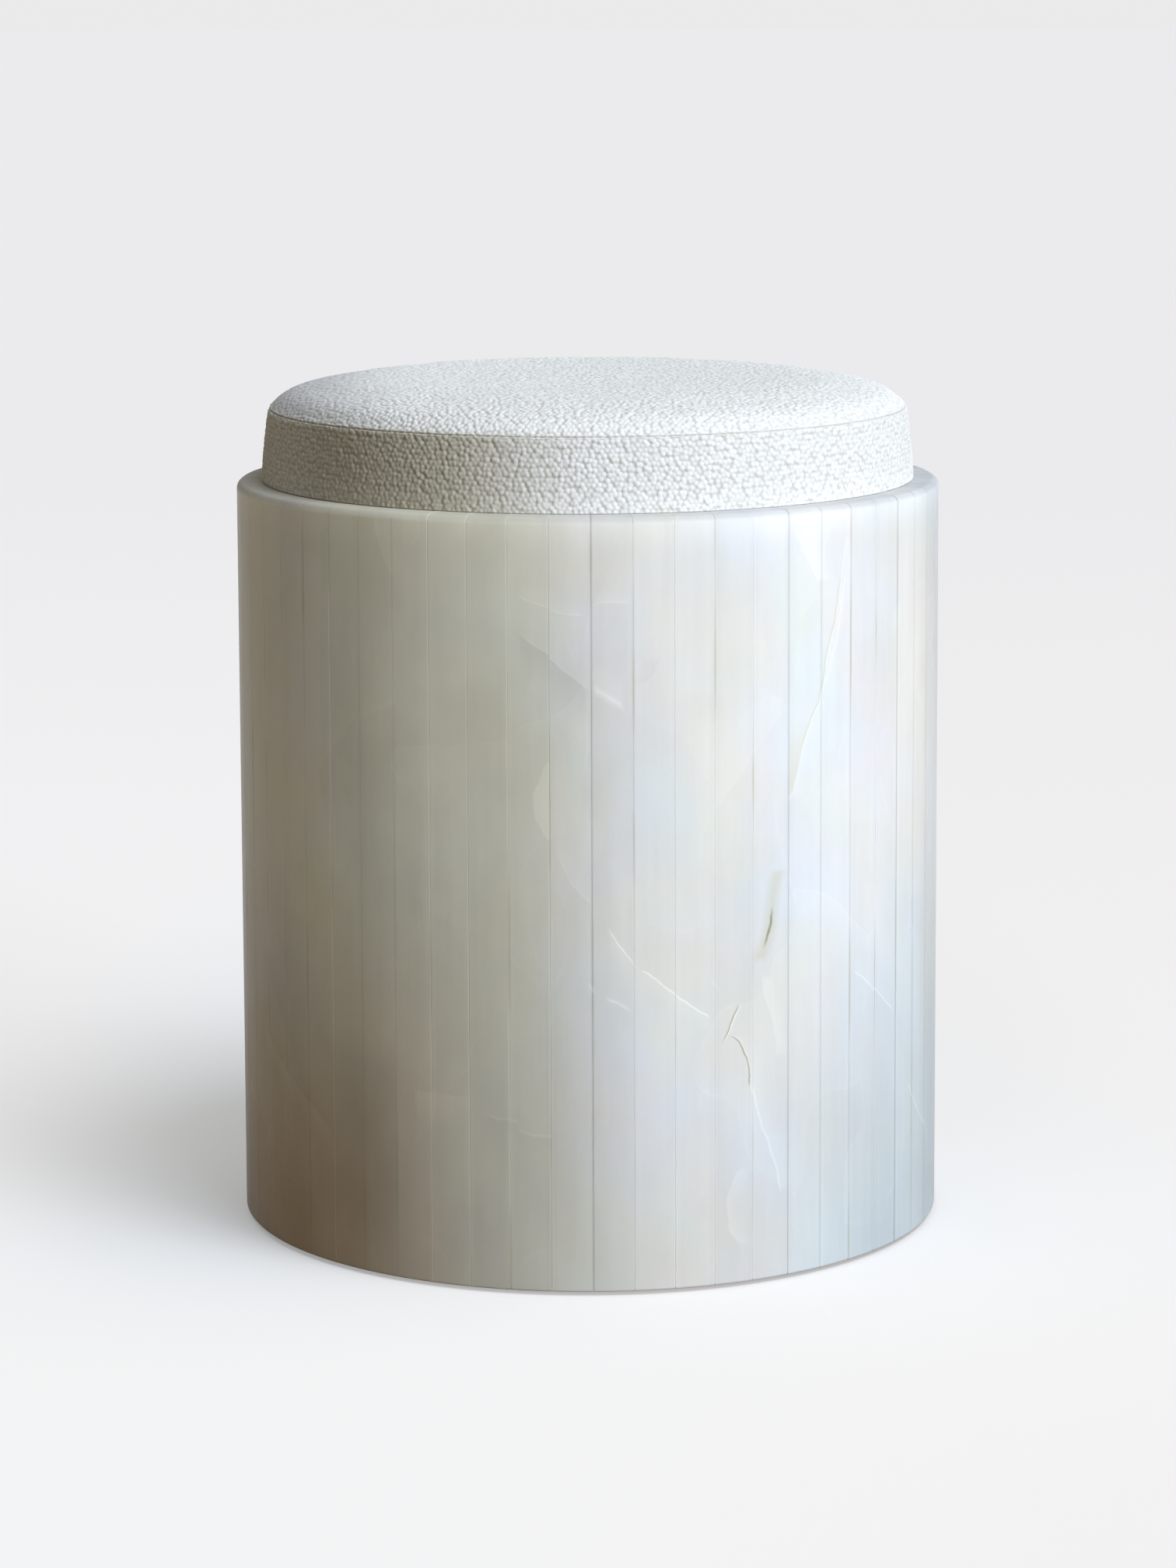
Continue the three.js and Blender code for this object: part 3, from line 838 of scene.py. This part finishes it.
def onyx_finish():
    """Pale onyx, as one slab that was cut into the staves in their order."""
    onyx = Finish("polished_onyx")
    between, blend = onyx.between, onyx.blend
    x, y, z = onyx.split(onyx.place())
    turn = onyx.maths("ARCTAN2", x, -y)
    stave = onyx.maths("FLOOR", turn / stave_turn)
    deep = (drum_radius - (x * x + y * y) ** 0.5) / MM
    flat_around = turn * (drum_radius / MM)
    flat_up = z / MM
    tone_of, shift_of, hue_of = (onyx.random(stave + seed) for seed in (71.5, 131.5, 211.5))

    flat = onyx.join(flat_around, flat_up, deep)
    sway = onyx.noise(flat, 1 / 16, detail=3, roughness=0.55, name="Color")
    sway_around, sway_up, _ = onyx.split(sway)
    around = flat_around + (sway_around - 0.5) * near_sway + (shift_of - 0.5) * 1.2
    up = flat_up + (sway_up - 0.5) * near_sway + (tone_of - 0.5) * 2.4
    wide = onyx.noise(flat, 1 / 110, detail=2, name="Color")
    wide_around, wide_up, _ = onyx.split(wide)
    far_around = around + (wide_around - 0.5) * far_sway
    far_up = up + (wide_up - 0.5) * far_sway

    # Clouds, upright streaks, a fine grain, and patches with pale edges
    clouds = onyx.noise(onyx.join(around, up * 0.6, deep), 1 / 75, detail=4, roughness=0.5)
    streaks = onyx.noise(onyx.join(around, up * 0.05, deep), 1 / 7, detail=3, roughness=0.6)
    grain = onyx.noise(onyx.join(around, up * 0.4, deep), 1 / 2.2, detail=2)
    cells = onyx.join(far_around, far_up * 0.55, deep)
    patch_cell = onyx.node("TexVoronoi", {"feature": "F1"}, vector=cells, scale=1 / patch_size)
    patch = onyx.split(onyx.out(patch_cell, "Color"))[0]
    rim_cell = onyx.node(
        "TexVoronoi", {"feature": "DISTANCE_TO_EDGE"}, vector=cells, scale=1 / patch_size)
    from_edge = onyx.out(rim_cell, "Distance") * patch_size
    showing = between(onyx.noise(flat, 1 / 45, detail=1), 0.5, 0.62)
    away = between(abs(flat_around), 225, 270)
    seen = showing * (0.25 + away * 0.75)

    tone = 0.955 + (clouds - 0.5) * 0.22 + (streaks - 0.5) * 0.09 + (tone_of - 0.5) * 0.05
    tone = tone + (patch - 0.5) * 0.07 * (0.4 + away * 0.6) + (grain - 0.5) * 0.02
    tone = tone + between(from_edge, 1.0, 0.0) * seen * 0.10
    tone = tone + between(from_edge, 9.0, 0.0) * seen * 0.03
    for steep, points, width, strength, reach, fade, side in veins:
        off, ends = drawn(onyx, around, up, points, steep)
        if strength:
            tone = tone + between(abs(off), width, 0.0) * ends * strength
        beside = between(off * side, reach, 0.0) * between(off * side, -0.4, 0.4)
        tone = tone + beside * ends * fade
    off, ends = drawn(onyx, around, up, bright_lens, STEEP)
    lens = between(off, -0.5, 0.5) * between(flat_around, -21.1, -21.4) * ends
    tone = tone + lens * 0.09

    # Cooler and warmer whites, from cloud to cloud and a little from stave to stave
    cool = between(onyx.noise(flat, 1 / 90, detail=2), 0.35, 0.65)
    cool = onyx.least(onyx.most(cool * 0.84 + hue_of * 0.16, 0), 1)
    colour = blend(cool, srgb(242, 238, 231), srgb(238, 240, 244))
    blush = between(onyx.noise(flat, 1 / 55, detail=2), 0.52, 0.75)
    colour = blend(blush * 0.3, colour, srgb(240, 230, 226))
    tint_red, tint_green, tint_blue = (
        1 + (share - 0.5) * 0.08
        for share in onyx.split(onyx.noise(cells, 1 / 48, detail=1, name="Color")))
    tint = onyx.join(tint_red, tint_green, tint_blue)
    colour = blend(1.0, colour, tint, kind="MULTIPLY")

    # What covers only one side of the drum fades out before the two sides meet at the back
    left_side, right_side = between(around, -480, -380), between(around, 480, 380)
    # More mottled on the left and darker from one joint on. Painted shade on the left: a warmer
    # tint, and a brown zone low down, as deep as the slab
    warm = between(around, 25, -50) * left_side
    warm = warm * (1 - between(around, -120, -190) * 0.8)
    colour = blend(warm * 0.7, colour, srgb(229, 224, 201))
    # Painted shade: a brown zone low on the left
    brown_shade = between(up, 230, 10) * between(around, -30, -150)
    brown_shade = brown_shade * between(around, -420, -300)
    colour = blend(brown_shade * (0.70 + (clouds - 0.5) * 0.8), colour, srgb(198, 168, 139))
    step = between(flat_around, -106.2, -107.0) * between(flat_around, -170, -125)
    step = step * between(up, 135, 105) * between(up, 8, 40)
    tone = tone * (1 - step * 0.10)
    mottle = onyx.noise(onyx.join(around, up * 0.7, deep), 1 / 26, detail=3, roughness=0.5)
    shaded = between(around, 60, -90) * left_side
    tone = tone + (mottle - 0.5) * (0.04 + shaded * 0.14)
    # Painted shade: darker towards the foot, low on the left and far to the right, and cooler and
    # darker low on the right. Painted light: lighter far to the left. A wide darker cloud near
    # the middle
    # Painted shade towards the foot
    tone = tone * (1 - between(up, 300, -40) * 0.14)
    dusk = between(around, -120, -45) * between(around, 35, -20)
    tone = tone * (1 - dusk * between(up, 390, 280) * 0.12)
    # Painted shade low on the left
    low_left_shade = between(up, 240, 20) * between(around, 30, -50) * left_side
    tone = tone * (1 - low_left_shade * 0.10)
    # Painted light far to the left, lifting the shaded side
    mid_left_light = between(around, -115, -170) * between(around, -274, -230)
    tone = tone * (1 + mid_left_light * 0.20)
    # Painted shade far to the right, towards the edge
    far_right_shade = between(around, 200, 262) * right_side
    tone = tone * (1 - far_right_shade * 0.20)
    # Painted shade, cool and darker, low on the right
    low_right_shade = between(up, 270, 10) * between(around, 40, 200) * right_side
    colour = blend(low_right_shade * 0.8, colour, srgb(212, 223, 230))
    tone = tone * (1 - low_right_shade * 0.07)
    # Painted glow under the rim. The ground edge above it is darker, partly a duller finish and
    # partly painted shade, and on the left it carries a painted shadow of the pad
    rim_glow = between(flat_up, 374, 400) ** 2
    edge = between(flat_up, 397.5, 401)
    # Painted shadow of the pad on the rim's top at the left
    pad_shadow_left = edge * between(around, -100, -200) * left_side
    tone = tone * (1 + rim_glow * 0.13 - edge * 0.34 - pad_shadow_left * 0.28)
    colour = blend(pad_shadow_left * 0.5, colour, srgb(216, 208, 182))

    # An olive streak with a dark core, the cracks and a beige wedge that ends at a joint
    off, ends = drawn(onyx, around, up, olive_streak, STEEP)
    colour = blend(
        between(abs(off), 6.5, 0.0) * ends * (0.2 + clouds * 0.6), colour, srgb(216, 212, 184))
    colour = blend(
        between(abs(off), 1.1, 0.2) * between(abs(up - 188), 12, 4) * 0.75,
        colour, srgb(150, 144, 104))
    for points, aside, faded, full, strength, paint in cracks:
        off, ends = drawn(onyx, around, up, points, STEEP)
        crack = between(abs(off + aside), faded, full) * ends * strength
        colour = blend(crack, colour, srgb(*paint))
    off, ends = drawn(onyx, around, up, beige_wedge, STEEP)
    wedge = between(off, 0.3, -0.3) * between(flat_around, 106.4, 106.8)
    wedge = wedge * between(up, 300, 272) * between(up, 250, 262)
    colour = blend(wedge * 0.42, colour, srgb(232, 226, 204))

    # Resin and iron along some joints, then painted light and shade at and beside the joints
    nearest = abs(onyx.maths("WRAP", flat_around, stave_pitch / 2, -stave_pitch / 2))
    joint = onyx.maths("ROUND", flat_around / stave_pitch)
    stained = onyx.noise(onyx.join(joint * 37.3, up * 0.3, 0.0), 1 / 30, detail=2)
    stained = between(stained, 0.5, 0.7)
    groove = between(nearest, 1.2, 0.2)
    stain = groove * stained
    colour = blend(stain * 0.45, colour, srgb(214, 207, 178))
    # Joints lighter or darker at random and lighter on the whole: partly joint tone, partly
    # painted light against the shade in the grooves
    tone = tone + groove * ((onyx.random(joint + 3.5) - 0.4) * 0.22 - stained * 0.05)
    # Faint bands beside the joints, lighter or darker at random: painted light and shade
    beside = between(abs(nearest - 2.0), 1.4, 0.2) * (onyx.random(joint + 9.5) - 0.5)
    tone = tone + beside * 0.04

    colour = blend(1.0, colour, onyx.join(tone, tone, tone), kind="MULTIPLY")
    gloss = 0.30 + (clouds - 0.5) * 0.12 + stain * 0.15 + between(flat_up, 397, 401) * 0.2
    return onyx.surface(
        base_color=colour, roughness=gloss, subsurface_weight=0.2,
        subsurface_radius=(1.0, 0.95, 0.85), subsurface_scale=0.003, specular_ior_level=0.02)


# ---- Other finishes

def boucle_finish():
    boucle = Finish("pebbled_boucle")
    pile = boucle.out(boucle.node("Attribute", {"attribute_name": "pile"}), "Fac")
    place = boucle.place()
    lint = boucle.noise(place, 1 / (0.9 * MM), detail=3, roughness=0.6)
    clouds = boucle.noise(place, 1 / (35 * MM), detail=2)
    # Painted shade in the hollows between the beads: the lower the pile, the darker
    deep = boucle.between(pile, 0.15, 0.85)
    colour = boucle.blend(deep, srgb(214, 210, 204), srgb(241, 241, 241))
    colour = boucle.blend(
        boucle.between(clouds, 0.3, 0.7) * 0.25, colour, srgb(228, 228, 224))
    # Painted shade, darker on the left: warm on the band and cool at the crown's left end
    x, y, z = boucle.split(place)
    on_band = boucle.between(z, seam_height + 3 * MM, seam_height - 2 * MM)
    band_shade = boucle.between(x, 4 * MM, -84 * MM) * (
        1 - boucle.between(x, -125 * MM, -168 * MM) * 0.7)
    crown_shade = boucle.between(x, -85 * MM, -165 * MM)
    band_shade = band_shade * boucle.between(y, 60 * MM, -10 * MM)
    # Painted shade on the band's left and at the crown's left end
    colour = boucle.blend(band_shade * on_band * 0.78, colour, srgb(176, 167, 145))
    colour = boucle.blend(crown_shade * (1 - on_band) * 0.6, colour, srgb(170, 171, 175))
    relief = boucle.bump(lint, 0.3 * MM, 0.5)
    return boucle.surface(
        base_color=colour, roughness=0.95, normal=relief, sheen_weight=0.05,
        sheen_roughness=0.5, specular_ior_level=0.2)


ply_thickness = 1.5  # mm, like the sizes below
tube_round, ring_round = 170, 150  # about where the plies' edges show
grain_length, grain_width = 90, 3


def plywood_finish(name, wound):
    """Birch plywood. Flat sheets show their plies on the edge, and the wound tube at its ends."""
    ply = Finish(name)
    x, y, z = ply.split(ply.place())
    out = (x * x + y * y) ** 0.5
    turn = ply.maths("ARCTAN2", x, -y)
    facing = ply.split(ply.out(ply.node("NewGeometry"), "Normal"))[2]
    on_face = ply.between(abs(facing), 0.4, 0.8)
    if wound:
        on_face = 1 - on_face
        sheet, edge_run = out / MM, turn * tube_round
        veneer = ply.join(edge_run / grain_width, z / MM / grain_length, 0.0)
    else:
        sheet, edge_run = z / MM, turn * ring_round
        veneer = ply.join(x / MM / grain_length, y / MM / grain_width, z * 40)
    layer = ply.maths("FLOOR", sheet / ply_thickness)
    crossed = ply.maths("PINGPONG", layer, 1.0)
    from_glue = abs(ply.maths("WRAP", sheet, ply_thickness / 2, -ply_thickness / 2))
    glue = ply.between(from_glue, 0.16, 0.05)
    pores = ply.noise(ply.join(edge_run, sheet * 3, layer * 7.3), 0.9, detail=3, roughness=0.7)
    figure = ply.noise(veneer, 1.0, detail=5, roughness=0.62)
    rings = ply.noise(veneer, 0.35, detail=2, distortion=1.5)
    side = ply.blend(crossed, srgb(206, 178, 138), srgb(178, 143, 102))
    side = ply.blend(ply.between(pores, 0.45, 0.75) * 0.5, side, srgb(150, 116, 80))
    side = ply.blend(glue * 0.8, side, srgb(104, 74, 50))
    face = ply.ramp(figure, (
        (0.30, srgb(196, 164, 122)), (0.5, srgb(216, 189, 149)), (0.72, srgb(226, 203, 166))))
    face = ply.blend(ply.between(rings, 0.5, 0.7) * 0.25, face, srgb(190, 154, 112))
    colour = ply.blend(on_face, side, face)
    relief = ply.bump(figure + pores * 0.5, 0.08 * MM, 0.35)
    return ply.surface(
        base_color=colour, roughness=0.52 + figure * 0.2, normal=relief, specular_ior_level=0.35)


def zinc_finish():
    zinc = Finish("zinc_steel")
    place = zinc.place()
    spangle = zinc.noise(place, 1 / (1.2 * MM), detail=2)
    tarnish = zinc.noise(place, 1 / (6 * MM), detail=3)
    colour = zinc.blend(zinc.between(tarnish, 0.4, 0.7), srgb(196, 198, 200), srgb(186, 182, 166))
    return zinc.surface(
        base_color=colour, metallic=1.0, roughness=0.28 + spangle * 0.2,
        normal=zinc.bump(spangle, 0.03 * MM, 0.4))


def nylon_finish():
    nylon = Finish("moulded_nylon")
    place = nylon.place()
    mottle = nylon.noise(place, 1 / (3 * MM), detail=4)
    scuffs = nylon.noise(place, 1 / (0.6 * MM), detail=2)
    colour = nylon.blend(mottle, srgb(206, 202, 190), srgb(224, 221, 211))
    return nylon.surface(
        base_color=colour, roughness=0.42 + mottle * 0.2, subsurface_weight=0.1,
        subsurface_scale=0.002, normal=nylon.bump(scuffs, 0.03 * MM, 0.4))


def dust_cloth_finish():
    cloth = Finish("dust_cloth")
    place = cloth.place()
    x, y, _ = cloth.split(place)
    fibres = cloth.noise(place, 1 / (0.8 * MM), detail=4, roughness=0.75, distortion=2.0)
    bond = cloth.node(
        "TexVoronoi", {"feature": "F1"}, vector=cloth.join(x, y, 0.0), scale=1 / (1.6 * MM),
        randomness=0.15)
    dimple = cloth.between(cloth.out(bond, "Distance"), 0.15, 0.35)
    colour = cloth.blend(fibres, srgb(42, 41, 40), srgb(84, 82, 79))
    colour = cloth.blend((1 - dimple) * 0.5, colour, srgb(36, 35, 34))
    return cloth.surface(
        base_color=colour, roughness=0.9, specular_ior_level=0.2,
        normal=cloth.bump(fibres * 0.5 + dimple, 0.12 * MM, 0.6))


# ---- Dust cover

cover_middle = 30 * MM  # inside this the dust cover is one flat face


def dust_cover(finish):
    """The cloth under the seat: flat in the middle, with a step where it covers the raw hem."""
    sheet_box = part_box("dust_cover")
    edge, low, high = sheet_box[1].y, sheet_box[0].z, sheet_box[1].z
    step = hem_inner - 1 * MM  # where it steps over the hem's edge
    on_hem = low + 0.6 * MM
    shape = bmesh.new()
    line = [(cover_middle, high), (step - 6 * MM, high), (step - 1 * MM, high - 0.15 * MM),
            (step + 1 * MM, low + 0.75 * MM), (step + 5 * MM, on_hem), (edge, on_hem)]
    verts = [shape.verts.new((0, -far, tall)) for far, tall in line]
    edges = [shape.edges.new(pair) for pair in zip(verts, verts[1:])]
    bmesh.ops.spin(
        shape, geom=verts + edges, cent=(0, 0, 0), axis=(0, 0, 1), angle=2 * math.pi, steps=144,
        use_merge=True)
    middle = [e for e in shape.edges if e.is_boundary
              and all(math.hypot(v.co.x, v.co.y) < cover_middle + hair for v in e.verts)]
    bmesh.ops.contextual_create(shape, geom=middle)
    bmesh.ops.recalc_face_normals(shape, faces=shape.faces)
    bmesh.ops.solidify(shape, geom=list(shape.faces), thickness=dust_cloth_thickness)
    for face in shape.faces:
        face.smooth = True
    mesh = mesh_of(shape, "dust_sheet")
    sheet = add_piece("dust_sheet", mesh, "seat", finish, "dust_cloth", "dust_cover")


# ---- The stool

polished_onyx = onyx_finish()
stave_pairs(polished_onyx)
joint_filler(polished_onyx)
dust_cover(dust_cloth_finish())

flat_ply, wound_ply = plywood_finish("birch_plywood", False), plywood_finish("wound_birch", True)
zinc_steel, moulded_nylon = zinc_finish(), nylon_finish()
finish_of = {
    "core_tube": wound_ply, "top_ring": flat_ply, "mid_ring": flat_ply, "base_ring": flat_ply,
    "base_plate": flat_ply, "seat_plug": flat_ply, "seat_board": flat_ply,
    "base_screw": zinc_steel, "plug_screw": zinc_steel, "glide": moulded_nylon,
}
for name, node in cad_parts.items():
    finish = next((f for start, f in finish_of.items() if name.startswith(start)), None)
    if finish:
        for slot in node.material_slots:
            slot.material = finish

blank, held = pad_blank()
pad = mesh_of(blank, "pad_blank")
cover_reach = mark_cloth(pad)
pad = filled(pad, held)
pad = add_piece("seat_pad", worked_pad(pad, cover_reach), "seat", boucle_finish(), "boucle",
                "cover_top", "cover_band", "seat_foam", "seat_wadding")
